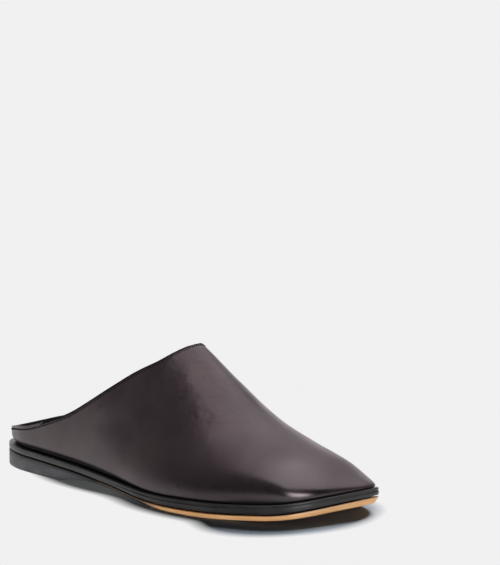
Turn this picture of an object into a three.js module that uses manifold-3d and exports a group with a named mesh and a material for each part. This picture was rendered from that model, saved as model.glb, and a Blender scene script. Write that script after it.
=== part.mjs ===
// Backless leather mule for the right foot, standing on its sole.
// Millimetres. +X runs from heel to toe, +Y to the big-toe side, +Z up, and the floor is z = 0.
import * as THREE from 'three';
import { mergeVertices } from 'three/addons/utils/BufferGeometryUtils.js';
import Module from 'manifold-3d';

const wasm = await Module();
wasm.setup();

// Driving dimensions of the sole
const soleLength = 258; // heel to the point that the squared toe is rounded back from
const ballWidth = 87.5;
const heelRise = 6.4; // floor to the outsole under the heel
const toeSpring = 6.9; // floor to the outsole under the toe tip
const outsoleThickness = 2.6;
const midsoleThickness = 3.7;
const insoleThickness = 3;

// Driving dimensions of the upper
const instepRise = 73.8; // midsole to the top of the throat
const upperWall = 2;
const weltMargin = 1.9; // midsole that shows outside the upper
const featherTuck = 1.2; // how far the wall draws in where it meets the midsole
const featherTuckHeight = 1.8;
const wallFullness = 1; // how far the wall swells above the feather line
const wallFullnessHeight = 11;

// Gap left between neighbouring pieces
const clearance = 0.3;

// How finely the surfaces are faceted
const samplesPerSide = 400;
const softeningPasses = 60;
const quarterColumns = 34;
const vampColumns = 36;
const wallRows = 12;
const heelCrowding = 1.4;
const throatCrowding = 1.6;
const toeCrowding = 1.3;

// Sole outline from the heel's back, down the little-toe side and back up the big-toe side,
// as shares of the sole's length and of the ball width
const outline = table(['along', 'side'], [
  [0.000, 0.000],
  [0.022, -0.150],
  [0.092, -0.268],
  [0.200, -0.325],
  [0.339, -0.367],
  [0.469, -0.428],
  [0.600, -0.508],
  [0.719, -0.521],
  [0.840, -0.433],
  [0.915, -0.345],
  [0.951, -0.235],
  [0.973, 0.010],
  [0.986, 0.205],
  [0.984, 0.310],
  [0.950, 0.380],
  [0.860, 0.438],
  [0.740, 0.475],
  [0.600, 0.400],
  [0.470, 0.322],
  [0.340, 0.303],
  [0.200, 0.330],
  [0.092, 0.295],
  [0.022, 0.175],
]);
const toeRow = 11; // the row above that lies at the middle of the toe

// Levels of the sole along its length, as shares of the heel rise, the toe spring and the two thicknesses
const levels = table(['along', 'seat', 'spring', 'outsole', 'midsole'], [
  [0.00, 1.00, 0.00, 1.000, 1.00],
  [0.10, 0.98, 0.00, 0.955, 1.00],
  [0.20, 0.94, 0.00, 0.844, 1.00],
  [0.30, 0.84, 0.00, 0.643, 1.00],
  [0.40, 0.62, 0.00, 0.576, 1.00],
  [0.50, 0.40, 0.00, 0.487, 1.05],
  [0.60, 0.10, 0.00, 0.665, 1.20],
  [0.66, 0.00, 0.00, 0.822, 1.32],
  [0.75, 0.00, 0.00, 0.955, 1.38],
  [0.84, 0.00, 0.12, 1.000, 1.38],
  [0.92, 0.00, 0.37, 1.045, 1.36],
  [1.00, 0.00, 0.98, 1.335, 1.08],
]);

// Underside of the heel block and its coved breast, as a share of the heel rise
const breast = table(['along', 'lift'], [
  [0.000, 0.000],
  [0.255, 0.000],
  [0.279, 0.117],
  [0.309, 0.344],
  [0.346, 0.469],
  [0.372, 0.530],
]);
const heelFront = 0.372; // share of the sole's length where the heel block ends
const heelCentre = 0.115; // share of the sole's length at the middle of the heel's flat

// Cross sections of the last: crown is a share of the instep rise, fullness is the power of the
// section's curve, ridge is the crown's shift as a share of the ball width, swell scales the fullness
const last = table(['along', 'crown', 'fullness', 'ridge', 'swell'], [
  [0.000, 0.866, 3.20, 0.000, 0.3],
  [0.200, 0.954, 2.90, 0.000, 0.6],
  [0.400, 1.013, 2.40, 0.000, 1.0],
  [0.530, 1.083, 1.42, 0.000, 1.0],
  [0.585, 0.983, 1.40, 0.002, 1.0],
  [0.660, 0.779, 1.50, 0.008, 1.0],
  [0.740, 0.543, 1.70, 0.014, 1.0],
  [0.820, 0.381, 2.10, 0.020, 1.0],
  [0.900, 0.242, 2.55, 0.030, 1.0],
  [0.960, 0.085, 3.00, 0.040, 1.0],
  [1.000, 0.022, 3.30, 0.050, 1.0],
]);
const crownRounding = 0.12; // share of the half width over which the crown is rounded

// Height of the collar above the feather line, as a share of the instep rise
const collar = table(['along', 'height'], [
  [0.000, 0.092],
  [0.060, 0.142],
  [0.140, 0.188],
  [0.220, 0.265],
  [0.300, 0.381],
  [0.380, 0.538],
  [0.460, 0.722],
  [0.530, 0.883],
  [0.590, 1.035],
]);
const collarTilt = 0.015; // rise of the collar for each millimetre towards the big-toe side

// The last's spine, between the middles of the heel and toe curves, as shares of the sole's length
const spineHeel = 0.145;
const spineToe = 0.905;
const spineBlend = 0.05;

// Names the columns of a table's rows
function table(columns, rows) {
  return Object.fromEntries(columns.map((name, i) => [name, rows.map((row) => row[i])]));
}

// Slope of a table column at one row, level at peaks so that the curve never overshoots
function slopeAt(xs, ys, i) {
  const slope = (j) => (ys[j + 1] - ys[j]) / (xs[j + 1] - xs[j]);
  if (i === 0) return slope(0);
  if (i === xs.length - 1) return slope(i - 1);
  const before = slope(i - 1);
  const after = slope(i);
  if (before * after <= 0) return 0;
  const stepBefore = xs[i] - xs[i - 1];
  const stepAfter = xs[i + 1] - xs[i];
  const mean = (stepBefore * after + stepAfter * before) / (stepBefore + stepAfter);
  return Math.sign(mean) * Math.min(Math.abs(mean), 3 * Math.abs(before), 3 * Math.abs(after));
}

// Smooth value of a table column at a share of the sole's length
function read(rows, column, along) {
  const xs = rows.along;
  const ys = rows[column];
  const x = THREE.MathUtils.clamp(along, xs[0], xs[xs.length - 1]);
  let i = 0;
  while (i < xs.length - 2 && x > xs[i + 1]) i += 1;
  const step = xs[i + 1] - xs[i];
  const t = (x - xs[i]) / step;
  const rise = t * t * (3 - 2 * t);
  const bend = t * (1 - t) * step * ((1 - t) * slopeAt(xs, ys, i) - t * slopeAt(xs, ys, i + 1));
  return ys[i] + (ys[i + 1] - ys[i]) * rise + bend;
}

// Levels of the sole's layers above the floor at a distance from the heel's back
const outsoleBottom = (x) => heelRise * read(levels, 'seat', x / soleLength)
  + toeSpring * read(levels, 'spring', x / soleLength);
const outsoleTop = (x) => outsoleBottom(x) + outsoleThickness * read(levels, 'outsole', x / soleLength);
const midsoleBottom = (x) => outsoleTop(x) + clearance;
const midsoleTop = (x) => midsoleBottom(x) + midsoleThickness * read(levels, 'midsole', x / soleLength);
const featherLevel = (x) => midsoleTop(x) + clearance;
const insoleTop = (x) => featherLevel(x) + insoleThickness;
const heelTop = (x) => outsoleBottom(x) - clearance;
const heelBottom = (x) => Math.min(heelRise * read(breast, 'lift', x / soleLength), heelTop(x) - clearance);

// Rises from level to a slope of one over a width
function ramp(distance, width) {
  if (distance <= 0) return 0;
  if (distance < width) return distance * distance / (2 * width);
  return distance - width / 2;
}

// Points at even steps along a chain of points
function evenly(points, count) {
  const travelled = [0];
  for (let i = 1; i < points.length; i += 1) {
    travelled.push(travelled[i - 1] + points[i].distanceTo(points[i - 1]));
  }
  const total = travelled[points.length - 1];
  const even = [];
  let i = 0;
  for (let k = 0; k <= count; k += 1) {
    const target = total * k / count;
    while (i < points.length - 2 && travelled[i + 1] < target) i += 1;
    const t = (target - travelled[i]) / (travelled[i + 1] - travelled[i]);
    even.push(points[i].clone().lerp(points[i + 1], Math.min(t, 1)));
  }
  return even;
}

// The sole's outline as a ring of points, its corners softened as a pared edge is
function softOutline() {
  const corners = outline.along.map(
    (along, i) => new THREE.Vector3(along * soleLength, outline.side[i] * ballWidth, 0),
  );
  const curve = new THREE.CatmullRomCurve3(corners, true);
  const toeTurn = toeRow / corners.length;
  const stretch = (from, to) => {
    const fine = [];
    for (let i = 0; i <= samplesPerSide; i += 1) {
      fine.push(curve.getPoint(from + (to - from) * i / samplesPerSide));
    }
    return evenly(fine, samplesPerSide);
  };
  let ring = [...stretch(0, toeTurn).slice(0, -1), ...stretch(toeTurn, 1).slice(0, -1)];
  for (let pass = 0; pass < softeningPasses; pass += 1) {
    ring = ring.map((point, i) => {
      const neighbours = ring.at(i - 1).clone().add(ring[(i + 1) % ring.length]);
      return neighbours.multiplyScalar(0.25).addScaledVector(point, 0.5);
    });
  }
  return ring;
}

// Both sides of the outline moved inward, each from the heel's back to the middle of the toe
function sidesInset(ring, distance) {
  const moved = ring.map((point, i) => {
    const along = ring[(i + 1) % ring.length].clone().sub(ring.at(i - 1)).normalize();
    return new THREE.Vector3(point.x - along.y * distance, point.y + along.x * distance, 0);
  });
  const outer = moved.slice(0, samplesPerSide + 1);
  const inner = [moved[0], ...moved.slice(samplesPerSide).reverse()];
  return [outer, inner];
}

// Point at a share of the way along one side
function pointAlong(side, share) {
  const place = share * samplesPerSide;
  const i = Math.min(Math.floor(place), samplesPerSide - 1);
  return side[i].clone().lerp(side[i + 1], place - i);
}

// Point of the spine that belongs to a column of the two sides
function spinePoint(sides, share) {
  const mean = (pointAlong(sides[0], share).x + pointAlong(sides[1], share).x) / 2;
  const blend = spineBlend * soleLength;
  const heelEnd = spineHeel * soleLength;
  const toeEnd = spineToe * soleLength;
  const x = mean < soleLength / 2
    ? heelEnd + ramp(mean - heelEnd + blend / 2, blend)
    : toeEnd - ramp(toeEnd - mean + blend / 2, blend);
  return new THREE.Vector3(x, read(last, 'ridge', x / soleLength) * ballWidth, 0);
}

// Number in a range for which a rising function passes zero, halved down to the last digit
function bisect(low, high, rising) {
  const middle = (low + high) / 2;
  if (middle <= low || middle >= high) return middle;
  return rising(middle) > 0 ? bisect(low, middle, rising) : bisect(middle, high, rising);
}

// Point of the last's surface: turn goes from 0 at the feather line to a quarter turn at the crown
function lastPoint(sides, side, share, turn) {
  const spine = spinePoint(sides, share);
  const outward = pointAlong(sides[side], share).sub(spine);
  const section = spine.x / soleLength;
  const power = 2 / read(last, 'fullness', section);
  const rounded = Math.hypot(1, crownRounding) - crownRounding;
  const reach = Math.max(Math.cos(turn), 0) ** power * rounded + crownRounding;
  const out = Math.sqrt(Math.max(reach * reach - crownRounding * crownRounding, 0));
  const point = spine.addScaledVector(outward, out);
  const crown = instepRise * read(last, 'crown', point.x / soleLength);
  const height = crown * Math.sin(turn) ** power;
  const swell = wallFullness * read(last, 'swell', section) * (height / wallFullnessHeight)
    * Math.exp(1 - height / wallFullnessHeight);
  const tuck = featherTuck * Math.exp(-height / featherTuckHeight);
  point.addScaledVector(outward.normalize(), (swell - tuck) * Math.min(out, 1));
  point.z = featherLevel(point.x) + height;
  return point;
}

// Height of the collar's edge above the floor, over a point
const collarLevel = ({ x, y }) => featherLevel(x) + instepRise * read(collar, 'height', x / soleLength)
  + collarTilt * y;

// Share along the sides where the collar crosses the crown, at the throat
function throatShare(sides) {
  return bisect(0, 1, (share) => {
    const top = lastPoint(sides, 0, share, Math.PI / 2);
    return collarLevel(top) - top.z;
  });
}

// Shares of the columns, crowded towards the heel's back, the throat and the toe
function columnShares(throat) {
  const crowded = (t, power) => 1 - (1 - t) ** power;
  const shares = [];
  for (let k = 0; k < quarterColumns; k += 1) {
    shares.push(throat * crowded((k / quarterColumns) ** heelCrowding, throatCrowding));
  }
  for (let k = 0; k <= vampColumns; k += 1) {
    shares.push(throat + (1 - throat) * crowded(k / vampColumns, toeCrowding));
  }
  return shares;
}

// The insole's sides, ended at the toe where the low leaning wall has risen enough to clear its top
function insoleSides(ring, feather) {
  const needed = insoleThickness + 2 * upperWall + clearance;
  const toePoint = (turn) => lastPoint(feather, 0, 1, turn);
  const turn = bisect(0, Math.PI / 2, (at) => {
    const point = toePoint(at);
    return point.z - featherLevel(point.x) - needed;
  });
  const end = toePoint(turn).x;
  const sides = sidesInset(ring, weltMargin + featherTuck + upperWall + clearance);
  return sides.map((side) => side.map((point) => point.setX(Math.min(point.x, end))));
}

// A surface gathered face by face, with points that coincide kept once
function newSkin() {
  const points = [];
  const faces = [];
  const known = new Map();
  const indexOf = (point) => {
    const key = point.toArray().map((value) => Math.round(value * 1e4)).join(' ');
    if (!known.has(key)) {
      known.set(key, points.length);
      points.push(point);
    }
    return known.get(key);
  };
  const addFace = (a, b, c) => {
    const face = [a, b, c].map(indexOf);
    if (new Set(face).size === 3) faces.push(face);
  };
  return { points, faces, addFace };
}

// Adds the patch between two neighbouring columns of points
function addStrip(skin, column, next, flipped) {
  for (let j = 0; j + 1 < column.length; j += 1) {
    const [a, b, c, d] = [column[j], column[j + 1], next[j + 1], next[j]];
    if (flipped) {
      skin.addFace(a, b, c);
      skin.addFace(a, c, d);
    } else {
      skin.addFace(a, c, b);
      skin.addFace(a, d, c);
    }
  }
}

// Adds a surface from its columns on both sides
function addSides(skin, shares, columnOf, flipped) {
  for (const side of [0, 1]) {
    for (let k = 0; k + 1 < shares.length; k += 1) {
      addStrip(skin, columnOf(side, shares[k]), columnOf(side, shares[k + 1]), flipped === (side === 0));
    }
  }
}

// Edges that only one face uses, in that face's direction
function openEdges(faces) {
  const used = new Set(faces.flatMap(([a, b, c]) => [`${a} ${b}`, `${b} ${c}`, `${c} ${a}`]));
  return [...used].map((edge) => edge.split(' ').map(Number)).filter(([a, b]) => !used.has(`${b} ${a}`));
}

function geometryOf(points, faces) {
  const geometry = new THREE.BufferGeometry();
  geometry.setAttribute('position', new THREE.Float32BufferAttribute(points.flatMap((p) => p.toArray()), 3));
  geometry.setIndex(faces.flat());
  return geometry;
}

// A level layer of the sole between two heights, inside the given sides
function layer(sides, shares, bottom, top) {
  const skin = newSkin();
  const lift = (point, level) => point.clone().setZ(level(point.x));
  const columnOf = (level) => (side, share) => {
    const edge = pointAlong(sides[side], share);
    const spine = spinePoint(sides, share);
    return [edge, edge.clone().lerp(spine, 0.5), spine].map((point) => lift(point, level));
  };
  const edgeOf = (side, share) => {
    const edge = pointAlong(sides[side], share);
    return [lift(edge, bottom), lift(edge, top)];
  };
  addSides(skin, shares, columnOf(top), false);
  addSides(skin, shares, columnOf(bottom), true);
  addSides(skin, shares, edgeOf, false);
  return geometryOf(skin.points, skin.faces);
}

// A skin given a wall on its inside, closed along its open edges
function thicken(skin, wall) {
  const outside = geometryOf(skin.points, skin.faces);
  outside.computeVertexNormals();
  const normals = outside.getAttribute('normal');
  const inside = skin.points.map((point, i) => {
    const normal = new THREE.Vector3().fromBufferAttribute(normals, i);
    const onFeather = point.z - featherLevel(point.x) < clearance / 2;
    if (onFeather) normal.setZ(0).normalize();
    const moved = point.clone().addScaledVector(normal, -wall);
    const lowest = featherLevel(moved.x);
    return moved.setZ(onFeather ? lowest : Math.max(moved.z, lowest + clearance));
  });
  const count = skin.points.length;
  const back = skin.faces.map(([a, b, c]) => [a + count, c + count, b + count]);
  const rim = openEdges(skin.faces).flatMap(([a, b]) => [[b, a, a + count], [b, a + count, b + count]]);
  return geometryOf([...skin.points, ...inside], [...skin.faces, ...back, ...rim]);
}

// The lasted upper: quarters up to the collar, and a vamp that closes over the crown
function upperGeometry(sides, shares, throat) {
  const skin = newSkin();
  const columnOf = (side, share) => {
    const above = (turn) => {
      const point = lastPoint(sides, side, share, turn);
      return point.z - collarLevel(point);
    };
    const topTurn = share < throat ? bisect(0, Math.PI / 2, above) : Math.PI / 2;
    const column = [];
    for (let j = 0; j <= wallRows; j += 1) column.push(lastPoint(sides, side, share, topTurn * j / wallRows));
    return column;
  };
  addSides(skin, shares, columnOf, false);
  return thicken(skin, upperWall);
}

function toManifold(geometry) {
  const bare = geometry.clone();
  bare.deleteAttribute('normal');
  bare.deleteAttribute('uv');
  const merged = mergeVertices(bare);
  return new wasm.Manifold(new wasm.Mesh({
    numProp: 3,
    vertProperties: new Float32Array(merged.getAttribute('position').array),
    triVerts: new Uint32Array(merged.getIndex().array),
  }));
}

function fromManifold(solid) {
  const mesh = solid.getMesh();
  const geometry = new THREE.BufferGeometry();
  geometry.setAttribute('position', new THREE.BufferAttribute(mesh.vertProperties, 3));
  geometry.setIndex(new THREE.BufferAttribute(mesh.triVerts, 1));
  return geometry;
}

// The heel block: a layer under the outsole, cut straight across at its breast
function heelGeometry(sides, shares) {
  const front = heelFront * soleLength;
  const keep = new THREE.BoxGeometry(2 * front, 2 * ballWidth, 2 * soleLength);
  return fromManifold(toManifold(layer(sides, shares, heelBottom, heelTop)).intersect(toManifold(keep)));
}

function piece(name, geometry, color, roughness) {
  const mesh = new THREE.Mesh(geometry, new THREE.MeshStandardMaterial({ color, roughness, metalness: 0 }));
  mesh.name = name;
  return mesh;
}

function buildShoe() {
  const ring = softOutline();
  const edge = sidesInset(ring, 0);
  const feather = sidesInset(ring, weltMargin);
  const insoleEdge = insoleSides(ring, feather);
  const throat = throatShare(feather);
  const shares = columnShares(throat);
  const shoe = new THREE.Group();
  shoe.add(piece('upper', upperGeometry(feather, shares, throat), '#3b3438', 0.42));
  shoe.add(piece('insole', layer(insoleEdge, shares, featherLevel, insoleTop), '#1c1a1b', 0.8));
  shoe.add(piece('midsole', layer(edge, shares, midsoleBottom, midsoleTop), '#2b2829', 0.5));
  shoe.add(piece('outsole', layer(edge, shares, outsoleBottom, outsoleTop), '#c89a6b', 0.55));
  shoe.add(piece('heel', heelGeometry(edge, shares), '#2a2728', 0.5));
  shoe.position.x = -heelCentre * soleLength;
  return shoe;
}

export default buildShoe();
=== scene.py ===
import math
import bpy
import numpy as np
from mathutils import Matrix, Vector
from mathutils.bvhtree import BVHTree


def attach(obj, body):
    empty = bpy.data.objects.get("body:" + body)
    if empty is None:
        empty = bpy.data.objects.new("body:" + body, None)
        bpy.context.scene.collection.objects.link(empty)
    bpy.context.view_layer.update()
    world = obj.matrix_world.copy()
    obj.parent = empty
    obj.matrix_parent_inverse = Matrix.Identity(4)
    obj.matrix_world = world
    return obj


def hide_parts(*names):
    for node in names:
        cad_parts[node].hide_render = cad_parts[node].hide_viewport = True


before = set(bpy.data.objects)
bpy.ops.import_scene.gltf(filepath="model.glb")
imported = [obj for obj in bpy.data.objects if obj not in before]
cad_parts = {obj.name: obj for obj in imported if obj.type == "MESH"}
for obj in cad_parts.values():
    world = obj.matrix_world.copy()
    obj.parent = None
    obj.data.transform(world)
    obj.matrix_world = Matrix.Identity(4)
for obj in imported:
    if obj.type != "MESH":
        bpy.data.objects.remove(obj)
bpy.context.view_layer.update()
scene = bpy.context.scene
mm = 0.001

# The shoe's own sizes. X runs from the heel's back to the toe, Y to the big-toe side
shoe = {
    "length": 258 * mm,
    "ballWidth": 87.5 * mm,
    "heelRise": 6.4 * mm,
    "toeSpring": 6.9 * mm,
    "outsoleThickness": 2.6 * mm,
    "midsoleThickness": 3.7 * mm,
    "insoleThickness": 3 * mm,
    "instepRise": 73.8 * mm,
    "upperWall": 2 * mm,
    "weltMargin": 1.9 * mm,
    "gap": 0.3 * mm,
    "originShare": 0.115,  # the frame's origin lies under this share of the length
}
originX = shoe["originShare"] * shoe["length"]


def namedTable(columns, rows):
    cells = np.array(rows, float)
    return {name: cells[:, i] for i, name in enumerate(columns.split())}


def readTable(table, column, along):
    xs, ys = table["along"], table[column]
    steps = np.diff(xs)
    rises = np.diff(ys) / steps
    before, after = rises[:-1], rises[1:]
    mean = (steps[:-1] * after + steps[1:] * before) / (steps[:-1] + steps[1:])
    most = 3 * np.minimum(abs(before), abs(after))
    inner = np.where(before * after > 0, np.sign(mean) * np.minimum(abs(mean), most), 0)
    slopes = np.concatenate([rises[:1], inner, rises[-1:]])
    x = np.clip(along, xs[0], xs[-1])
    i = np.clip(np.searchsorted(xs, x) - 1, 0, len(xs) - 2)
    t = (x - xs[i]) / steps[i]
    bend = t * (1 - t) * steps[i] * ((1 - t) * slopes[i] - t * slopes[i + 1])
    return ys[i] + (ys[i + 1] - ys[i]) * t * t * (3 - 2 * t) + bend


soleOutline = {
    "softening": 60,  # smoothing rounds that pare the corners
    "samples": 400,  # points along each side
    "toeRow": 11,
    "shape": namedTable("along side", [
        (0.000, 0.000), (0.022, -0.150), (0.092, -0.268), (0.200, -0.325), (0.339, -0.367),
        (0.469, -0.428), (0.600, -0.508), (0.719, -0.521), (0.840, -0.433), (0.915, -0.345),
        (0.951, -0.235), (0.973, 0.010), (0.986, 0.205), (0.984, 0.310), (0.950, 0.380),
        (0.860, 0.438), (0.740, 0.475), (0.600, 0.400), (0.470, 0.322), (0.340, 0.303),
        (0.200, 0.330), (0.092, 0.295), (0.022, 0.175)]),
}

soleLevels = namedTable("along seat spring outsole midsole", [
    (0.00, 1.00, 0.00, 1.000, 1.00),
    (0.10, 0.98, 0.00, 0.955, 1.00),
    (0.20, 0.94, 0.00, 0.844, 1.00),
    (0.30, 0.84, 0.00, 0.643, 1.00),
    (0.40, 0.62, 0.00, 0.576, 1.00),
    (0.50, 0.40, 0.00, 0.487, 1.05),
    (0.60, 0.10, 0.00, 0.665, 1.20),
    (0.66, 0.00, 0.00, 0.822, 1.32),
    (0.75, 0.00, 0.00, 0.955, 1.38),
    (0.84, 0.00, 0.12, 1.000, 1.38),
    (0.92, 0.00, 0.37, 1.045, 1.36),
    (1.00, 0.00, 0.98, 1.335, 1.08),
])


def smoothBetween(x, low, high):
    t = np.clip((x / shoe["length"] - low) / (high - low), 0, 1)
    return t * t * (3 - 2 * t)


def outsoleBottom(x):
    s = x / shoe["length"]
    seat = shoe["heelRise"] * readTable(soleLevels, "seat", s)
    return seat + shoe["toeSpring"] * readTable(soleLevels, "spring", s)


def outsoleTop(x):
    thickness = shoe["outsoleThickness"] * readTable(soleLevels, "outsole", x / shoe["length"])
    return outsoleBottom(x) + thickness


def midsoleBottom(x):
    return outsoleTop(x) + shoe["gap"]


def midsoleTop(x):
    thickness = shoe["midsoleThickness"] * readTable(soleLevels, "midsole", x / shoe["length"])
    return midsoleBottom(x) + thickness


def featherLevel(x):
    return midsoleTop(x) + shoe["gap"]


def insoleTop(x):
    return featherLevel(x) + shoe["insoleThickness"]


def hill(distance, width):
    return np.exp(-(distance / width) ** 2)


def evenly(points, count):
    travelled = np.r_[0, np.cumsum(np.linalg.norm(np.diff(points, axis=0), axis=1))]
    targets = np.linspace(0, travelled[-1], count + 1)
    return np.stack([np.interp(targets, travelled, points[:, i]) for i in range(points.shape[1])], 1)


def closedCurve(corners, turns):
    # centripetal spline through the corners
    count = len(corners)
    place = turns * count
    i = np.floor(place).astype(int)
    w = (place - i)[:, None]
    p = [corners[(i + k) % count] for k in (-1, 0, 1, 2)]
    d = [np.sqrt(np.linalg.norm(p[k + 1] - p[k], axis=1))[:, None] for k in range(3)]
    start = ((p[1] - p[0]) / d[0] - (p[2] - p[0]) / (d[0] + d[1]) + (p[2] - p[1]) / d[1]) * d[1]
    end = ((p[2] - p[1]) / d[1] - (p[3] - p[1]) / (d[1] + d[2]) + (p[3] - p[2]) / d[2]) * d[1]
    return ((2 * w**3 - 3 * w**2 + 1) * p[1] + (w**3 - 2 * w**2 + w) * start
            + (3 * w**2 - 2 * w**3) * p[2] + (w**3 - w**2) * end)


def softOutline():
    shape, samples = soleOutline["shape"], soleOutline["samples"]
    corners = np.stack([shape["along"] * shoe["length"], shape["side"] * shoe["ballWidth"]], 1)
    toeTurn = soleOutline["toeRow"] / len(corners)
    lateral = evenly(closedCurve(corners, np.linspace(0, toeTurn, samples + 1)), samples)
    medial = evenly(closedCurve(corners, np.linspace(toeTurn, 1, samples + 1)), samples)
    ring = np.vstack([lateral[:-1], medial[:-1]])
    for _ in range(soleOutline["softening"]):
        ring = 0.5 * ring + 0.25 * (np.roll(ring, 1, 0) + np.roll(ring, -1, 0))
    return ring


soleRing = softOutline()
soleTangents = np.roll(soleRing, -1, 0) - np.roll(soleRing, 1, 0)
soleTangents /= np.linalg.norm(soleTangents, axis=1)[:, None]
soleInward = np.stack([-soleTangents[:, 1], soleTangents[:, 0]], 1)


def ringSides(ring):
    samples = soleOutline["samples"]
    return [ring[:samples + 1], np.vstack([ring[:1], ring[samples:][::-1]])]


def sidesInset(distance):
    return ringSides(soleRing + soleInward * distance)


inwardSides = ringSides(soleInward)


def alongSide(side, share):
    place = np.linspace(0, 1, len(side))
    return np.stack([np.interp(share, place, side[:, i]) for i in range(2)], -1)


lastShape = {
    "crownRounding": 0.12,
    "tuck": 1.2 * mm, "tuckHeight": 1.8 * mm,  # where the leather turns under at the feather line
    "fullness": 1 * mm, "fullnessHeight": 11 * mm,
    "collarTilt": 0.035,  # rise of the collar towards the big-toe side, metre for metre
    "spineHeel": 0.145, "spineToe": 0.905, "spineBlend": 0.05,
    "sections": namedTable("along crown fullness ridge swell", [
        (0.000, 0.866, 3.20, 0.000, 0.3),
        (0.200, 0.954, 2.90, 0.000, 0.6),
        (0.400, 1.013, 2.40, 0.000, 1.0),
        (0.530, 1.083, 1.42, 0.000, 1.0),
        (0.585, 0.983, 1.40, 0.002, 1.0),
        (0.660, 0.779, 1.50, 0.008, 1.0),
        (0.740, 0.543, 1.70, 0.014, 1.0),
        (0.820, 0.381, 2.10, 0.020, 1.0),
        (0.900, 0.242, 2.55, 0.030, 1.0),
        (0.960, 0.085, 3.00, 0.040, 1.0),
        (1.000, 0.022, 3.30, 0.050, 1.0)]),
    "collar": namedTable("along height", [
        (0.000, 0.090), (0.060, 0.146), (0.140, 0.192), (0.220, 0.280), (0.300, 0.393),
        (0.370, 0.533), (0.430, 0.667), (0.490, 0.811), (0.540, 0.912), (0.590, 1.039)]),
}


def ramp(distance, width):
    bend = distance**2 / (2 * width)
    return np.where(distance <= 0, 0, np.where(distance < width, bend, distance - width / 2))


def spineBetween(lateral, medial):
    mean = (lateral[..., 0] + medial[..., 0]) / 2
    length = shoe["length"]
    blend = lastShape["spineBlend"] * length
    heelEnd = lastShape["spineHeel"] * length
    toeEnd = lastShape["spineToe"] * length
    x = np.where(mean < length / 2,
                 heelEnd + ramp(mean - heelEnd + blend / 2, blend),
                 toeEnd - ramp(toeEnd - mean + blend / 2, blend))
    return np.stack([x, readTable(lastShape["sections"], "ridge", x / length) * shoe["ballWidth"]], -1)


def spinePoint(sides, share):
    return spineBetween(alongSide(sides[0], share), alongSide(sides[1], share))


def featherTuck(height, x):
    return lastShape["tuck"] * np.exp(-height / lastShape["tuckHeight"])


def roundTuck(height, x):
    # a rounded turn under the foot, deep from the heel to the waist and slight at the forefoot
    s = x / shoe["length"]
    depth = readTable(upperLook["turnUnder"], "depth", s) * mm
    rise = readTable(upperLook["turnUnder"], "rise", s) * mm
    left = np.clip(1 - height / rise, 0, 1)
    return depth * (1 - np.sqrt(1 - left**2 * upperLook["turnRoundness"]))


def lastPoint(sides, side, share, turn, tuckOf=featherTuck):
    share, turn = np.broadcast_arrays(share, turn)
    sections, length = lastShape["sections"], shoe["length"]
    spine = spinePoint(sides, share)
    outward = alongSide(sides[side], share) - spine
    section = spine[..., 0] / length
    power = 2 / readTable(sections, "fullness", section)
    rounding = lastShape["crownRounding"]
    across = np.clip(np.cos(turn) - 1e-12, 0, 1)  # exactly nothing on the spine, for both sides alike
    reach = across**power * (math.hypot(1, rounding) - rounding) + rounding
    out = np.sqrt(np.maximum(reach**2 - rounding**2, 0))
    flat = spine + outward * out[..., None]
    crown = shoe["instepRise"] * readTable(sections, "crown", flat[..., 0] / length)
    height = crown * np.sin(turn) ** power
    lift = height / lastShape["fullnessHeight"]
    swell = lastShape["fullness"] * readTable(sections, "swell", section) * lift * np.exp(1 - lift)
    tuck = tuckOf(height, flat[..., 0])
    outward = outward / np.linalg.norm(outward, axis=-1, keepdims=True)
    flat = flat + outward * ((swell - tuck) * np.minimum(out, 1))[..., None]
    return np.concatenate([flat, (featherLevel(flat[..., 0]) + height)[..., None]], -1)


def collarLevel(points):
    x, y = points[..., 0], points[..., 1]
    share = readTable(lastShape["collar"], "height", x / shoe["length"])
    return featherLevel(x) + shoe["instepRise"] * share + lastShape["collarTilt"] * y


# Mesh helpers

def weld(points, faces):
    keys = np.round(points * 1e7).astype(np.int64)
    _, first, back = np.unique(keys, axis=0, return_index=True, return_inverse=True)
    back = back.reshape(-1)
    kept = []
    for face in faces:
        corners = []
        for corner in face:
            v = int(back[corner])
            if v not in corners:
                corners.append(v)
        if len(corners) > 2:
            kept.append(tuple(corners))
    return points[first], kept


def gridFaces(columns, rows, offset, flipped):
    faces = []
    for k in range(columns - 1):
        for j in range(rows - 1):
            a = offset + k * rows + j
            quad = (a, a + 1, a + rows + 1, a + rows)
            faces.append(quad[::-1] if flipped else quad)
    return faces


def pointNormals(points, faces):
    normals = np.zeros_like(points)
    for corners in (3, 4):
        chosen = np.array([f for f in faces if len(f) == corners], int).reshape(-1, corners)
        p = points[chosen]
        if corners == 3:
            area = np.cross(p[:, 1] - p[:, 0], p[:, 2] - p[:, 0])
        else:
            area = np.cross(p[:, 2] - p[:, 0], p[:, 3] - p[:, 1])
        for i in range(corners):
            np.add.at(normals, chosen[:, i], area)
    return normals / np.maximum(np.linalg.norm(normals, axis=1), 1e-12)[:, None]


def meshObject(name, points, faces, materials, faceMaterials=None, marks=None):
    data = bpy.data.meshes.new(name)
    placed = points - np.array([originX, 0, 0])
    data.from_pydata([tuple(p) for p in placed], [], faces)
    for material in materials:
        data.materials.append(material)
    if faceMaterials is not None:
        data.polygons.foreach_set("material_index", np.array(faceMaterials, np.int32))
    for label, values in (marks or {}).items():
        layer = data.attributes.new(label, "FLOAT", "POINT")
        layer.data.foreach_set("value", np.array(values, np.float32))
    data.polygons.foreach_set("use_smooth", np.ones(len(faces), bool))
    data.update()
    data.validate()
    made = bpy.data.objects.new(name, data)
    scene.collection.objects.link(made)
    return made


# Material helpers

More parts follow.
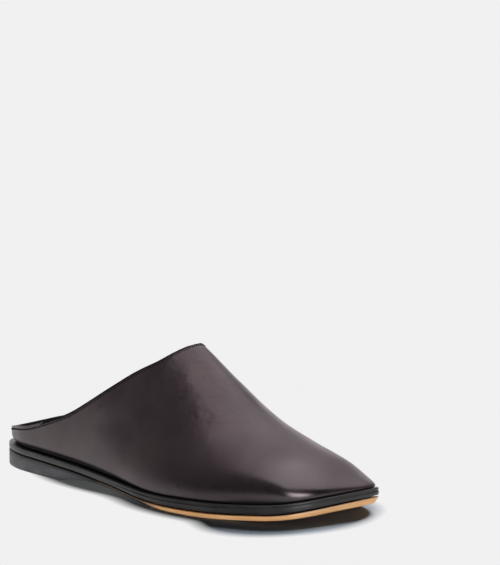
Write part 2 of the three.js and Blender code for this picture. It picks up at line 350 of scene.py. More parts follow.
def newFinish(name, color, roughness, **constants):
    finish = bpy.data.materials.new(name)
    finish.use_nodes = True
    nodes = finish.node_tree.nodes
    shader = nodes["Principled BSDF"]
    shader.inputs["Base Color"].default_value = (*color, 1)
    shader.inputs["Roughness"].default_value = roughness
    for socket, value in constants.items():
        shader.inputs[socket.replace("_", " ")].default_value = value
    return finish, nodes, finish.node_tree.links, shader


def noiseAt(nodes, links, source, scale, detail=4, stretch=(1, 1, 1)):
    mapping = nodes.new("ShaderNodeMapping")
    mapping.inputs["Scale"].default_value = stretch
    links.new(source, mapping.inputs["Vector"])
    noise = nodes.new("ShaderNodeTexNoise")
    noise.inputs["Scale"].default_value = scale
    noise.inputs["Detail"].default_value = detail
    links.new(mapping.outputs["Vector"], noise.inputs["Vector"])
    return noise.outputs["Fac"]


def spread(nodes, links, value, fromLow, fromHigh, toLow, toHigh):
    span = nodes.new("ShaderNodeMapRange")
    ends = (("From Min", fromLow), ("From Max", fromHigh), ("To Min", toLow), ("To Max", toHigh))
    for socket, number in ends:
        span.inputs[socket].default_value = number
    links.new(value, span.inputs["Value"])
    return span.outputs["Result"]


def mixColors(nodes, links, share, first, second):
    mix = nodes.new("ShaderNodeMix")
    mix.data_type = "RGBA"
    links.new(share, mix.inputs[0])
    for socket, color in ((mix.inputs[6], first), (mix.inputs[7], second)):
        if isinstance(color, tuple):
            socket.default_value = (*color, 1)
        else:
            links.new(color, socket)
    return mix.outputs[2]


def addBump(nodes, links, shader, height, distance, strength=1.0, before=None):
    bump = nodes.new("ShaderNodeBump")
    if isinstance(strength, float):
        bump.inputs["Strength"].default_value = strength
    else:
        links.new(strength, bump.inputs["Strength"])
    bump.inputs["Distance"].default_value = distance
    links.new(height, bump.inputs["Height"])
    if before is not None:
        links.new(before, bump.inputs["Normal"])
    links.new(bump.outputs["Normal"], shader.inputs["Normal"])
    return bump.outputs["Normal"]


def unevenRoughness(nodes, links, shader, pattern, smooth, rough):
    links.new(spread(nodes, links, pattern, 0.3, 0.7, smooth, rough), shader.inputs["Roughness"])


def objectCoordinates(nodes):
    return nodes.new("ShaderNodeTexCoord").outputs["Object"]


def markValue(nodes, label):
    mark = nodes.new("ShaderNodeAttribute")
    mark.attribute_name = label
    return mark.outputs["Fac"]


# Finishes

calfLook = {
    "color": (0.024, 0.0172, 0.0202),
    "warmColor": (0.034, 0.0250, 0.0255),
    "burnishAndShadeTone": (0.006, 0.0048, 0.0056), "burnishedSmoother": -0.15,  # painted shade low round the toe's little-toe side, where the leather is also smoother
    "creaseShade": (0.0035, 0.003, 0.0035),  # painted shade where the leather turns under the foot
    "roughness": 0.35,
    "shine": 0.62, "tint": (1.0, 0.79, 0.85, 1),
    "cloudScale": 26, "satinScale": 90, "handledScale": 85, "grainScale": 620, "poreScale": 1250,
}


def calfLeather():
    look = calfLook
    finish, nodes, links, shader = newFinish(
        "blackBrownCalf", look["color"], look["roughness"],
        Specular_IOR_Level=look["shine"], Specular_Tint=look["tint"], Sheen_Weight=0.03,
        Sheen_Roughness=0.5, Coat_Roughness=0.22)
    place = objectCoordinates(nodes)
    burnish = markValue(nodes, "burnish")
    links.new(markValue(nodes, "polish"), shader.inputs["Coat Weight"])
    clouds = spread(nodes, links, noiseAt(nodes, links, place, look["cloudScale"], 3), 0.38, 0.66, 0, 1)
    tone = mixColors(nodes, links, clouds, look["color"], look["warmColor"])
    # painted shade low on the toe's little-toe side
    tone = mixColors(nodes, links, burnish, tone, look["burnishAndShadeTone"])
    # painted shade where the leather turns under at the feather line
    turned = spread(nodes, links, markValue(nodes, "turnShare"), 0.35, 0.95, 0, 1)
    tone = mixColors(nodes, links, turned, look["creaseShade"], tone)
    links.new(tone, shader.inputs["Base Color"])
    satin = spread(nodes, links, noiseAt(nodes, links, place, look["satinScale"], 5), 0.3, 0.7,
                   look["roughness"] - 0.04, look["roughness"] + 0.06)
    smoother = nodes.new("ShaderNodeMath")
    smoother.operation = "MULTIPLY_ADD"
    links.new(burnish, smoother.inputs[0])
    smoother.inputs[1].default_value = look["burnishedSmoother"]
    links.new(satin, smoother.inputs[2])
    links.new(smoother.outputs[0], shader.inputs["Roughness"])
    pores = nodes.new("ShaderNodeTexVoronoi")
    pores.feature = "DISTANCE_TO_EDGE"
    pores.inputs["Scale"].default_value = look["poreScale"]
    links.new(place, pores.inputs["Vector"])
    poreDepth = spread(nodes, links, pores.outputs["Distance"], 0, 0.25, 0, 1)
    dents = noiseAt(nodes, links, place, look["handledScale"], 2)
    grain = noiseAt(nodes, links, place, look["grainScale"], 5)
    handled = addBump(nodes, links, shader, dents, 1.3 * mm, markValue(nodes, "handled"))
    coarse = addBump(nodes, links, shader, grain, 0.10 * mm, 0.42, handled)
    addBump(nodes, links, shader, poreDepth, 0.04 * mm, 0.5, coarse)
    return finish


edgeLook = {
    "color": (0.004, 0.0035, 0.004), "dark": (0.002, 0.0018, 0.002), "light": (0.007, 0.006, 0.0065),
}


def edgeDye():
    look = edgeLook
    finish, nodes, links, shader = newFinish("edgeDye", look["color"], 0.8, Specular_IOR_Level=0.06)
    place = objectCoordinates(nodes)
    tone = mixColors(nodes, links, noiseAt(nodes, links, place, 500, 4), look["dark"], look["light"])
    links.new(tone, shader.inputs["Base Color"])
    unevenRoughness(nodes, links, shader, noiseAt(nodes, links, place, 700, 3), 0.7, 0.9)
    addBump(nodes, links, shader, noiseAt(nodes, links, place, 1400, 4), 0.03 * mm, 0.5)
    return finish


liningLook = {
    "color": (0.012, 0.011, 0.0115), "dark": (0.008, 0.0072, 0.0076), "light": (0.018, 0.016, 0.0165),
}


def liningLeather():
    look = liningLook
    finish, nodes, links, shader = newFinish("blackLining", look["color"], 0.62)
    place = objectCoordinates(nodes)
    tone = mixColors(nodes, links, noiseAt(nodes, links, place, 60, 4), look["dark"], look["light"])
    links.new(tone, shader.inputs["Base Color"])
    unevenRoughness(nodes, links, shader, noiseAt(nodes, links, place, 140, 3), 0.55, 0.72)
    addBump(nodes, links, shader, noiseAt(nodes, links, place, 900, 6), 0.06 * mm, 0.6)
    return finish


inkLook = {
    "welt": (0.014, 0.0132, 0.0135), "heel": (0.032, 0.0322, 0.0375),
    "ledge": (0.002, 0.002, 0.002),  # painted shade on the flat of the welt, close under the upper
}


def inkedEdge(name, color, roughness, fibre=0.5, paintedShadeMark=None):
    finish, nodes, links, shader = newFinish(name, color, roughness, Specular_IOR_Level=0.42)
    place = objectCoordinates(nodes)
    worn = tuple(min(c * 2.1 + 0.004, 1) for c in color)
    clouds = spread(nodes, links, noiseAt(nodes, links, place, 70, 5), 0.35, 0.75, 0, 1)
    tone = mixColors(nodes, links, clouds, color, worn)
    # painted shade where the mark is set
    if paintedShadeMark:
        tone = mixColors(nodes, links, markValue(nodes, paintedShadeMark), tone, inkLook["ledge"])
    links.new(tone, shader.inputs["Base Color"])
    fibres = noiseAt(nodes, links, place, 260, 5, (0.16, 0.16, 3.2))
    unevenRoughness(nodes, links, shader, fibres, roughness - 0.06, roughness + 0.1)
    coarse = addBump(nodes, links, shader, fibres, 0.12 * mm, fibre)
    addBump(nodes, links, shader, noiseAt(nodes, links, place, 1500, 3), 0.02 * mm, 0.4, coarse)
    return finish


soleLook = {
    "tan": (0.82, 0.42, 0.165),
    "pale": (0.92, 0.56, 0.27),
    "burnishAndShadeTone": (0.30, 0.125, 0.045),
    "dull": (0.13, 0.092, 0.066),
    "ink": (0.014, 0.0125, 0.0125),
}


def soleLeather():
    look = soleLook
    finish, nodes, links, shader = newFinish(
        "tanSoleLeather", look["tan"], 0.46, Coat_Weight=0.1, Coat_Roughness=0.35)
    place = objectCoordinates(nodes)
    fibres = noiseAt(nodes, links, place, 300, 6, (0.12, 0.12, 3.0))
    streaks = spread(nodes, links, fibres, 0.3, 0.72, 0, 1)
    tone = mixColors(nodes, links, streaks, look["tan"], look["pale"])
    blush = spread(nodes, links, noiseAt(nodes, links, place, 34, 4), 0.42, 0.8, 0, 0.35)
    tone = mixColors(nodes, links, blush, tone, look["burnishAndShadeTone"])
    tone = mixColors(nodes, links, markValue(nodes, "burnish"), tone, look["burnishAndShadeTone"])
    tone = mixColors(nodes, links, markValue(nodes, "dull"), tone, look["dull"])
    ragged = nodes.new("ShaderNodeMath")
    ragged.operation = "ADD"
    links.new(markValue(nodes, "ink"), ragged.inputs[0])
    waver = spread(nodes, links, noiseAt(nodes, links, place, 420, 3), 0, 1, -0.22, 0.22)
    links.new(waver, ragged.inputs[1])
    ink = spread(nodes, links, ragged.outputs[0], 0.4, 0.6, 0, 1)
    tone = mixColors(nodes, links, ink, tone, look["ink"])
    links.new(tone, shader.inputs["Base Color"])
    unevenRoughness(nodes, links, shader, fibres, 0.4, 0.56)
    coarse = addBump(nodes, links, shader, fibres, 0.10 * mm, 0.5)
    addBump(nodes, links, shader, noiseAt(nodes, links, place, 1300, 4), 0.03 * mm, 0.4, coarse)
    return finish


threadLook = {
    "color": (0.003, 0.0025, 0.003), "dark": (0.0015, 0.0013, 0.0015), "light": (0.006, 0.005, 0.0055),
}


def waxedThread():
    look = threadLook
    finish, nodes, links, shader = newFinish("waxedThread", look["color"], 0.8, Specular_IOR_Level=0.1)
    place = objectCoordinates(nodes)
    tone = mixColors(nodes, links, noiseAt(nodes, links, place, 2600, 2), look["dark"], look["light"])
    links.new(tone, shader.inputs["Base Color"])
    addBump(nodes, links, shader, noiseAt(nodes, links, place, 4200, 2), 0.04 * mm, 0.8)
    return finish


calf = calfLeather()
dye = edgeDye()
lining = liningLeather()
weltInk = inkedEdge("inkedWelt", inkLook["welt"], 0.36, paintedShadeMark="ledge")
heelInk = inkedEdge("inkedHeel", inkLook["heel"], 0.42, 0.7)
tanLeather = soleLeather()
thread = waxedThread()
print("finishes made")

# Upper: one wall from the feather line to the collar, its rim folded round

upperLook = {
    "quarterColumns": 110, "quarterCrowding": 1.6,
    "vampColumns": 130, "vampEasing": 0.72,
    "rows": 72, "rowEasing": 0.9,
    "rimPoints": 7, "rimSmoothing": 4,
    "turnUnder": namedTable("along depth rise", [
        (0.00, 3.6, 4.4), (0.25, 4.0, 5.0), (0.42, 3.6, 4.4),
        (0.52, 2.1, 2.4), (0.64, 1.1, 1.0), (1.00, 0.9, 0.9)]),
    "turnRoundness": 0.96,
    "innerFloor": 0.2 * mm,  # the lining ends this far above the feather line
    "rimThinning": 0.8 * mm, "rimThinningReach": 5 * mm,
    "stitchInset": 1.35 * mm, "channelDepth": 0.10 * mm, "channelWidth": 0.3 * mm,
    "dyeDepth": 0.7 * mm,
    "dyeFrom": 0.2,  # the edge is dyed black from this share of the length to the throat
}
calfTone, liningTone, dyeTone = range(3)  # places in the upper's list of finishes
halvings = 40  # rounds that close in on the collar's edge

# Soft forms pressed into the leather: each path holds shares along the side and up the wall
softForms = [
    {"side": 0, "depth": -0.50 * mm, "radius": 7 * mm,
     "path": [(0.555, 0.73), (0.598, 0.71), (0.635, 0.69), (0.68, 0.66)]},
    {"side": 0, "depth": -0.50 * mm, "radius": 6 * mm,
     "path": [(0.48, 0.50), (0.51, 0.55), (0.54, 0.61)]},
    {"side": 0, "depth": 0.60 * mm, "radius": 14 * mm,
     "path": [(0.575, 0.48), (0.61, 0.44), (0.65, 0.41)]},
    {"side": 0, "depth": -0.20 * mm, "radius": 3.5 * mm,
     "path": [(0.40, 0.25), (0.435, 0.34), (0.465, 0.43)]},
    {"side": 0, "depth": 0.20 * mm, "radius": 5 * mm,
     "path": [(0.42, 0.20), (0.47, 0.30)]},
    {"side": 1, "depth": 0.50 * mm, "radius": 13 * mm,
     "path": [(0.50, 0.62), (0.57, 0.52), (0.63, 0.42)]},
    {"side": 1, "depth": -0.30 * mm, "radius": 9 * mm,
     "path": [(0.68, 0.62), (0.75, 0.50)]},
]

# Where feet and hands have worked the leather uneven: side, and shares along it and up the wall
handledSpots = {
    "middles": [(0, 0.555, 0.80), (0, 0.60, 0.70), (0, 0.66, 0.66), (1, 0.56, 0.70), (1, 0.62, 0.60)],
    "radius": 17 * mm,
}

toeLook = {
    "polishAt": (234 * mm, -22 * mm, 17 * mm),  # the corner that hands have polished
    "polishReach": 15 * mm, "polishMost": 0.8,
    # burnish with painted shade, low on the toe's little-toe side
    "burnishAndShadeFrom": 0.6, "burnishAndShadeTo": 0.78, "burnishAndShadeHeight": 14 * mm,
    "burnishAndShadeFade": 30 * mm,  # across the toe, from the little-toe side
}


def quarterTurn(sides, side, share, rim):
    low, high = np.zeros_like(share), np.full_like(share, math.pi / 2)
    for _ in range(halvings):
        middle = (low + high) / 2
        point = lastPoint(sides, side, share, middle)
        above = point[..., 2] > collarLevel(point) - rim
        high = np.where(above, middle, high)
        low = np.where(above, low, middle)
    return (low + high) / 2


def throatShare(sides, rim):
    low, high = 0.0, 1.0
    for _ in range(halvings):
        middle = (low + high) / 2
        top = lastPoint(sides, 0, np.array(middle), np.array(math.pi / 2))
        if collarLevel(top) - rim > top[2]:
            high = middle
        else:
            low = middle
    return (low + high) / 2


def eased(count, strength):
    t = np.linspace(0, 1, count + 1)
    return t - strength * np.sin(2 * math.pi * t) / (2 * math.pi)


def nearPath(points, path):
    # distance from each point to a chain of points
    nearest = np.full(len(points), 1e9)
    for a, b in zip(path[:-1], path[1:]):
        span = b - a
        t = np.clip(((points - a) @ span) / max(span @ span, 1e-18), 0, 1)
        nearest = np.minimum(nearest, np.linalg.norm(points - a - t[:, None] * span, axis=1))
    return nearest


def openEdges(faces):
    used = set()
    for face in faces:
        for i, corner in enumerate(face):
            used.add((corner, face[(i + 1) % len(face)]))
    return [edge for edge in used if edge[::-1] not in used]


def chainEdges(edges):
    following = dict(edges)
    loops = []
    while following:
        start = next(iter(following))
        loop, here = [start], following.pop(start)
        while here != start:
            loop.append(here)
            here = following.pop(here)
        loops.append(loop)
    return loops


def outerSkin(sides, rim):
    look = upperLook
    throat = throatShare(sides, rim)
    back = 1 - np.linspace(0, 1, look["quarterColumns"] + 1)[:-1]
    quarter = throat * (1 - back ** look["quarterCrowding"])
    vamp = throat + (1 - throat) * eased(look["vampColumns"], look["vampEasing"])
    shares = np.concatenate([quarter, vamp])
    climb = eased(look["rows"], look["rowEasing"])
    points, faces = [], []
    for side in (0, 1):
        top = np.where(shares < throat, quarterTurn(sides, side, shares, rim), math.pi / 2)
        grid = lastPoint(sides, side, shares[:, None], top[:, None] * climb[None], roundTuck)
        faces += gridFaces(len(shares), len(climb), side * grid.shape[0] * grid.shape[1], side == 0)
        points.append(grid.reshape(-1, 3))
    return weld(np.vstack(points), faces)


def pressForms(sides, points, normals):
    spot = np.linspace(0, 1, 12)
    for form in softForms:
        trail = np.array(form["path"])
        knots = np.linspace(0, 1, len(trail))
        share, turn = np.interp(spot, knots, trail[:, 0]), np.interp(spot, knots, trail[:, 1])
        away = nearPath(points, lastPoint(sides, form["side"], share, turn * math.pi / 2))
        points = points - normals * (form["depth"] * hill(away, form["radius"]))[:, None]
    return points


def heightOver(points):
    return np.clip(points[:, 2] - featherLevel(points[:, 0]), 0, None)


def wearMarks(sides, points):
    # how far each point is handled and polished, and how much burnish and painted shade it takes low on
    # the toe, from 0 to 1
    handled = np.zeros(len(points))
    for side, share, turn in handledSpots["middles"]:
        middle = lastPoint(sides, side, np.array(share), np.array(turn * math.pi / 2))
        away = np.linalg.norm(points - middle, axis=1)
        handled = np.maximum(handled, hill(away, handledSpots["radius"]))
    fromCorner = np.linalg.norm(points - np.array(toeLook["polishAt"]), axis=1)
    polish = toeLook["polishMost"] * hill(fromCorner, toeLook["polishReach"])
    low = hill(heightOver(points), toeLook["burnishAndShadeHeight"])
    outerSide = np.clip(0.5 - points[:, 1] / toeLook["burnishAndShadeFade"], 0, 1)
    along = smoothBetween(points[:, 0], toeLook["burnishAndShadeFrom"], toeLook["burnishAndShadeTo"])
    return {"handled": handled, "polish": polish, "burnish": low * outerSide * along}


def innerSkin(points, normals, featherLoop, fromCollar):
    look = upperLook
    wall = shoe["upperWall"] - look["rimThinning"] * hill(fromCollar, look["rimThinningReach"])
    inside = points - normals * wall[:, None]
    inside[:, 2] = np.maximum(inside[:, 2], featherLevel(inside[:, 0]) + look["innerFloor"])
    flat = normals[featherLoop] * [1, 1, 0]
    flat /= np.linalg.norm(flat, axis=1)[:, None]
    inside[featherLoop] = points[featherLoop] - flat * shoe["upperWall"]
    inside[featherLoop, 2] = points[featherLoop][:, 2]
    return inside


def foldedRim(outer, inner):
    # rows of points that turn from the outer to the inner edge of the collar, and the way up
    centre = (outer + inner) / 2
    out = outer - centre
    up = np.cross(np.roll(outer, -1, 0) - np.roll(outer, 1, 0), out)
    up *= (np.linalg.norm(out, axis=1) / np.linalg.norm(up, axis=1))[:, None]
    for _ in range(upperLook["rimSmoothing"]):  # the fold turns softly round the throat
        up = 0.5 * up + 0.25 * (np.roll(up, 1, 0) + np.roll(up, -1, 0))
    arcs = []
    for i in range(1, upperLook["rimPoints"] + 1):
        angle = math.pi * i / (upperLook["rimPoints"] + 1)
        arcs.append(centre + out * math.cos(angle) + up * math.sin(angle))
    return arcs, up / np.linalg.norm(up, axis=1)[:, None]


def rimFaces(loop, count):
    # the rim's own points follow those of the two skins, which have count points each
    size, steps = len(loop), upperLook["rimPoints"] + 1

    def index(place, step):
        if step == 0:
            return loop[place % size]
        if step == steps:
            return loop[place % size] + count
        return 2 * count + (step - 1) * size + place % size

    faces = []
    for place in range(size):
        for step in range(steps):
            corners = ((place + 1, step), (place, step), (place, step + 1), (place + 1, step + 1))
            faces.append(tuple(index(*corner) for corner in corners))
    return faces


def dyeRim(faces, tones, points, fromCollar):
    count = len(fromCollar)
    nearEdge = fromCollar < upperLook["dyeDepth"]
    for i, face in enumerate(faces):
        onEdge = all(corner >= 2 * count or nearEdge[corner % count] for corner in face)
        if tones[i] == calfTone and onEdge and points[face[0], 0] > upperLook["dyeFrom"] * shoe["length"]:
            tones[i] = dyeTone


def makeUpper():
    look = upperLook
    sides = sidesInset(shoe["weltMargin"])
    outer, skinFaces = outerSkin(sides, (shoe["upperWall"] - look["rimThinning"]) / 2)
    loops = sorted(chainEdges(openEdges(skinFaces)), key=lambda loop: outer[loop][:, 2].mean())
    featherLoop, collarLoop = loops[0], loops[-1]
    normals = pointNormals(outer, skinFaces)
    outer = pressForms(sides, outer, normals)
    edge = outer[collarLoop]
    fromCollar = nearPath(outer, np.vstack([edge, edge[:1]]))
    channel = look["channelDepth"] * hill(fromCollar - look["stitchInset"], look["channelWidth"])
    outer = outer - normals * channel[:, None]

    inner = innerSkin(outer, pointNormals(outer, skinFaces), featherLoop, fromCollar)
    rim, up = foldedRim(outer[collarLoop], inner[collarLoop])
    points = np.vstack([outer, inner] + rim)
    count = len(outer)
    following = featherLoop[1:] + featherLoop[:1]
    strip = [(b, a, a + count, b + count) for a, b in zip(featherLoop, following)]
    faces = skinFaces + [tuple(corner + count for corner in face[::-1]) for face in skinFaces]
    faces += strip + rimFaces(collarLoop, count)
    tones = [calfTone] * len(skinFaces) + [liningTone] * (len(skinFaces) + len(strip))
    tones += ([calfTone] * (look["rimPoints"] - 1) + [liningTone] * 2) * len(collarLoop)
    dyeRim(faces, tones, points, fromCollar)

    hidden = np.zeros(len(points) - count)
    marks = {}
    for label, values in wearMarks(sides, outer).items():
        marks[label] = np.concatenate([values, hidden])
    rise = readTable(look["turnUnder"], "rise", outer[:, 0] / shoe["length"]) * mm
    marks["turnShare"] = np.concatenate([heightOver(outer) / rise, hidden + 1])
    upper = meshObject("lastedUpper", points, faces, [calf, lining, dye], tones, marks)
    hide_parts("upper")
    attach(upper, "root")
    return outer, skinFaces, edge, up


upperPoints, upperFaces, collarEdge, collarUp = makeUpper()
print("upper made")

# Stitches: short waxed threads that lie in the channel under the collar

stitchRow = {
    "pitch": 1.32 * mm, "length": 1.45 * mm, "radius": 0.21 * mm,
    "rings": 9, "around": 8,
    "lean": 2.6,  # how far each thread turns from the row
    "smoothing": 6,
}


def stitchPlaces(tree):
    # middles of the threads and the way along the row
    row = []
    for point in collarEdge - collarUp * upperLook["stitchInset"]:
        row.append(tree.find_nearest(Vector(point))[0])
    row = np.array(row)
    for _ in range(stitchRow["smoothing"]):
        row = 0.5 * row + 0.25 * (np.roll(row, 1, 0) + np.roll(row, -1, 0))
    closed = np.vstack([row, row[:1]])
    total = np.linalg.norm(np.diff(closed, axis=0), axis=1).sum()
    centres = evenly(closed, int(total / stitchRow["pitch"]))[:-1]
    ahead = np.roll(centres, -1, 0) - np.roll(centres, 1, 0)
    return centres, ahead / np.linalg.norm(ahead, axis=1)[:, None]


def makeStitches():
    tree = BVHTree.FromPolygons([tuple(p) for p in upperPoints], upperFaces)
    points, faces = [], []
    rings, around = stitchRow["rings"], stitchRow["around"]
    for centre, forward in zip(*stitchPlaces(tree)):
        spot, normal, _, _ = tree.find_nearest(Vector(centre))
        spot, normal = np.array(spot), np.array(normal)
        side = np.cross(normal, forward)
        side /= np.linalg.norm(side)
        forward = forward + side * stitchRow["lean"]
        forward /= np.linalg.norm(forward)
        side = np.cross(normal, forward)
        start = len(points)
        for i in range(rings):
            t = i / (rings - 1) * 2 - 1
            radius = stitchRow["radius"] * math.sqrt(max(1 - t**4, 0.02))
            height = stitchRow["radius"] * (0.75 - 1.5 * t * t)  # both ends dip into the leather
            middle = spot + forward * (t * stitchRow["length"] / 2) + normal * height
            for k in range(around):
                angle = 2 * math.pi * k / around
                points.append(middle + radius * (math.cos(angle) * side + math.sin(angle) * normal))
        for i in range(rings - 1):
            for k in range(around):
                a, b = start + i * around + k, start + i * around + (k + 1) % around
                faces.append((a, b, b + around, a + around))
        faces.append(tuple(start + k for k in range(around))[::-1])
        faces.append(tuple(start + (rings - 1) * around + k for k in range(around)))
    stitches = meshObject("collarStitches", np.array(points), faces, [thread])
    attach(stitches, "root")


makeStitches()
print("stitches made")

# Sole layers: each is a plate with rounded edges between two levels


def edgeProfile(x, bottom, top, look):
    # depth and level of the rows round the edge, from the top to the underside
    cornerSteps, bandSteps, cornerMost = 5, 14, 0.46
    quarter = math.pi / 2 * np.arange(cornerSteps + 1) / cornerSteps
    thickness = top(x) - bottom(x)
    upperCorner = np.minimum(look["topRadius"](x), cornerMost * thickness)
    lowerCorner = np.minimum(look["bottomRadius"](x), cornerMost * thickness)
    profile = [(upperCorner * (1 - math.sin(a)), top(x) - upperCorner * (1 - math.cos(a)))
               for a in quarter]
    band = thickness - upperCorner - lowerCorner
    for share in np.arange(1, bandSteps) / bandSteps:
        bow = look["bow"] * math.sin(math.pi * share)
        profile.append((-bow * np.ones_like(x), top(x) - upperCorner - band * share))
    profile += [(lowerCorner * (1 - math.sin(a)), bottom(x) + lowerCorner * (1 - math.cos(a)))
                for a in quarter[::-1]]
    return profile


def flatRows(spine, shelf, level, shares):
    rows = []
    for share in shares:
        flat = spine * share + shelf * (1 - share)
        rows.append(np.column_stack([flat, level(flat[:, 0])]))
    return rows


def plateMesh(name, materials, bottom, top, look, inset=0.0, limits=(1.0, 1.0), toeEnd=None,
              columns=230, marks=None, relief=None):
    # rows run from the spine over the top, round the edge and back under to the spine
    fromSpine = (1.0, 0.75, 0.5, 0.25, 0.0)
    flatSides = sidesInset(inset)
    shares = [np.linspace(0, limit, columns + 1) for limit in limits]
    edges = [alongSide(flatSides[side], shares[side]) for side in (0, 1)]
    spine = spineBetween(*edges)
    points, faces, frontLoops = [], [], []
    offset = 0
    for side in (0, 1):
        edge = edges[side]
        x = edge[:, 0]
        inward = alongSide(inwardSides[side], shares[side])
        inward /= np.linalg.norm(inward, axis=1)[:, None]
        shelf = edge + inward * (3 * look["shelf"])
        rows = flatRows(spine, shelf, top, fromSpine)
        for depth, level in edgeProfile(x, bottom, top, look):
            if relief is not None:
                depth = depth + relief(edge, (level - bottom(x)) / (top(x) - bottom(x)), top(x) - level)
            spot = edge + inward * depth[:, None]
            rows.append(np.column_stack([spot, level + top(spot[:, 0]) - top(x)]))
        rows += flatRows(spine, shelf, bottom, fromSpine[::-1])
        grid = np.stack(rows, 1)
        if toeEnd is not None:
            grid[..., 0] = np.minimum(grid[..., 0], toeEnd)
        faces += gridFaces(grid.shape[0], grid.shape[1], offset, side == 0)
        offset += grid.shape[0] * grid.shape[1]
        frontLoops.append(tuple(range(offset - grid.shape[1], offset)))
        points.append(grid.reshape(-1, 3))
    if limits[0] < 1:
        faces.append(frontLoops[0] + frontLoops[1][::-1][1:-1])
    points, faces = weld(np.vstack(points), faces)
    return meshObject(name, points, faces, materials, None, marks(points) if marks else None)


def even(value):
    return lambda x: value + 0 * x


weltLook = {
    "topRadius": lambda x: 0.45 * mm + 0.35 * mm * smoothBetween(x, 0.3, 0.5),
    "bottomRadius": even(0.5 * mm), "bow": 0.08 * mm, "shelf": 1 * mm,
    "groove": 0.25 * mm,  # how much wider the groove under it shows than the solids' gap
    "beadLine": 1.55 * mm, "beadDepth": 0.42 * mm, "beadWidth": 0.38 * mm,  # line under the bead
    "beadFrom": 0.44, "beadTo": 0.58,  # shares of the length between which the bead grows
}


def weltRelief(edge, up, down):
    grown = smoothBetween(edge[:, 0], weltLook["beadFrom"], weltLook["beadTo"])
    return weltLook["beadDepth"] * grown * hill(down - weltLook["beadLine"], weltLook["beadWidth"])


def weltBottom(x):
    return midsoleBottom(x) + weltLook["groove"]


def weltMarks(points):
    # painted shade on the welt's flat top, under the upper
    return {"ledge": (points[:, 2] > midsoleTop(points[:, 0]) - 0.01 * mm).astype(float)}


midsole = plateMesh("weltAndMidsole", [weltInk], weltBottom, midsoleTop, weltLook,
                    marks=weltMarks, relief=weltRelief)
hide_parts("midsole")
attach(midsole, "root")
print("welt and midsole made")

outsoleLook = {
    "topRadius": even(0.3 * mm),
    "bottomRadius": lambda x: 0.04 * mm + 0.5 * mm * smoothBetween(x, 0.36, 0.46),
    "bow": 0.1 * mm, "shelf": 1 * mm, "groove": 0.12 * mm,
    "inkHeight": 1.4,  # share of the edge's height that the ink covers at the heel
    "sliverFrom": 0.36, "sliverTo": 0.44, "sliverDrop": 0.75,  # where the edge starts to show its brown
    "tanFrom": 0.57, "tanTo": 0.66, "tanDrop": 1.2,  # where it turns bare and bright
    "tipAt": (0.972, 0.345), "tipBevel": 2.6 * mm, "tipReach": 9 * mm,  # pared from below
}


def outsoleRelief(edge, up, down):
    look = outsoleLook
    tip = np.array(look["tipAt"]) * [shoe["length"], shoe["ballWidth"]]
    near = hill(np.linalg.norm(edge - tip, axis=1), look["tipReach"])
    return look["tipBevel"] * near * np.clip(1 - up, 0, 1) ** 1.2


def outsoleTopSeen(x):
    return outsoleTop(x) - outsoleLook["groove"]


def outsoleMarks(points):
    look = outsoleLook
    x, z = points[:, 0], points[:, 2]
    sliver = smoothBetween(x, look["sliverFrom"], look["sliverTo"])
    bare = smoothBetween(x, look["tanFrom"], look["tanTo"])
    up = np.clip((z - outsoleBottom(x)) / (outsoleTopSeen(x) - outsoleBottom(x)), 0, 1)
    reach = look["inkHeight"] - look["sliverDrop"] * sliver - look["tanDrop"] * bare
    ink = np.clip(0.5 + (reach - up) * 1.8, 0, 1)
    under = up < 0.02
    ink[under] = np.clip(1.15 - bare[under] * 1.4, 0, 1)
    nearTop = np.clip((up - 0.8) / 0.18, 0, 1)
    burnish = 0.75 * nearTop * nearTop * (3 - 2 * nearTop)
    burnish[under] = 0.12
    dull = np.where(under, 0, 1 - bare)
    return {"ink": ink, "burnish": burnish, "dull": dull}


outsole = plateMesh("leatherOutsole", [tanLeather], outsoleBottom, outsoleTopSeen, outsoleLook,
                    marks=outsoleMarks, relief=outsoleRelief)
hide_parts("outsole")
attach(outsole, "root")
print("outsole made")

heelLook = {
    "topRadius": even(0.04 * mm), "bottomRadius": even(0.4 * mm), "bow": 0.05 * mm, "shelf": 1 * mm,
    "front": 0.405,  # share of the length where the block runs out under the waist
    "seam": 0.02 * mm,  # what is left of the gap to the outsole
    "thinnest": 0.06 * mm,
    "breast": namedTable("along lift", [
        (0.000, 0.000), (0.255, 0.000), (0.279, 0.117), (0.309, 0.344), (0.346, 0.469), (0.405, 0.640)]),
}


def heelTop(x):
    return outsoleBottom(x) - heelLook["seam"]


def heelBottom(x):
    lift = shoe["heelRise"] * readTable(heelLook["breast"], "lift", x / shoe["length"])
    return np.minimum(lift, heelTop(x) - heelLook["thinnest"])


def shareAt(side, x):
    back = side[:soleOutline["samples"] // 2]
    return float(np.interp(x, back[:, 0], np.arange(len(back)))) / soleOutline["samples"]


heelLimits = [shareAt(side, heelLook["front"] * shoe["length"]) for side in sidesInset(0)]
heel = plateMesh("heelBlock", [heelInk], heelBottom, heelTop, heelLook, limits=heelLimits, columns=120)
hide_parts("heel")
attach(heel, "root")
print("heel made")

insoleLook = {
    "topRadius": even(0.5 * mm), "bottomRadius": even(0.3 * mm), "bow": 0.0, "shelf": 1 * mm,
    "inset": shoe["weltMargin"] + shoe["upperWall"] - 0.15 * mm,  # its edge touches the lining
    "toeEnd": 244.6 * mm,  # cut square behind the toe's wall
}

insole = plateMesh("insoleWithSock", [lining], featherLevel, insoleTop, insoleLook,
                   inset=insoleLook["inset"], toeEnd=insoleLook["toeEnd"])
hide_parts("insole")
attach(insole, "root")
print("insole made")

# Studio: pale sweep, soft lights and the camera

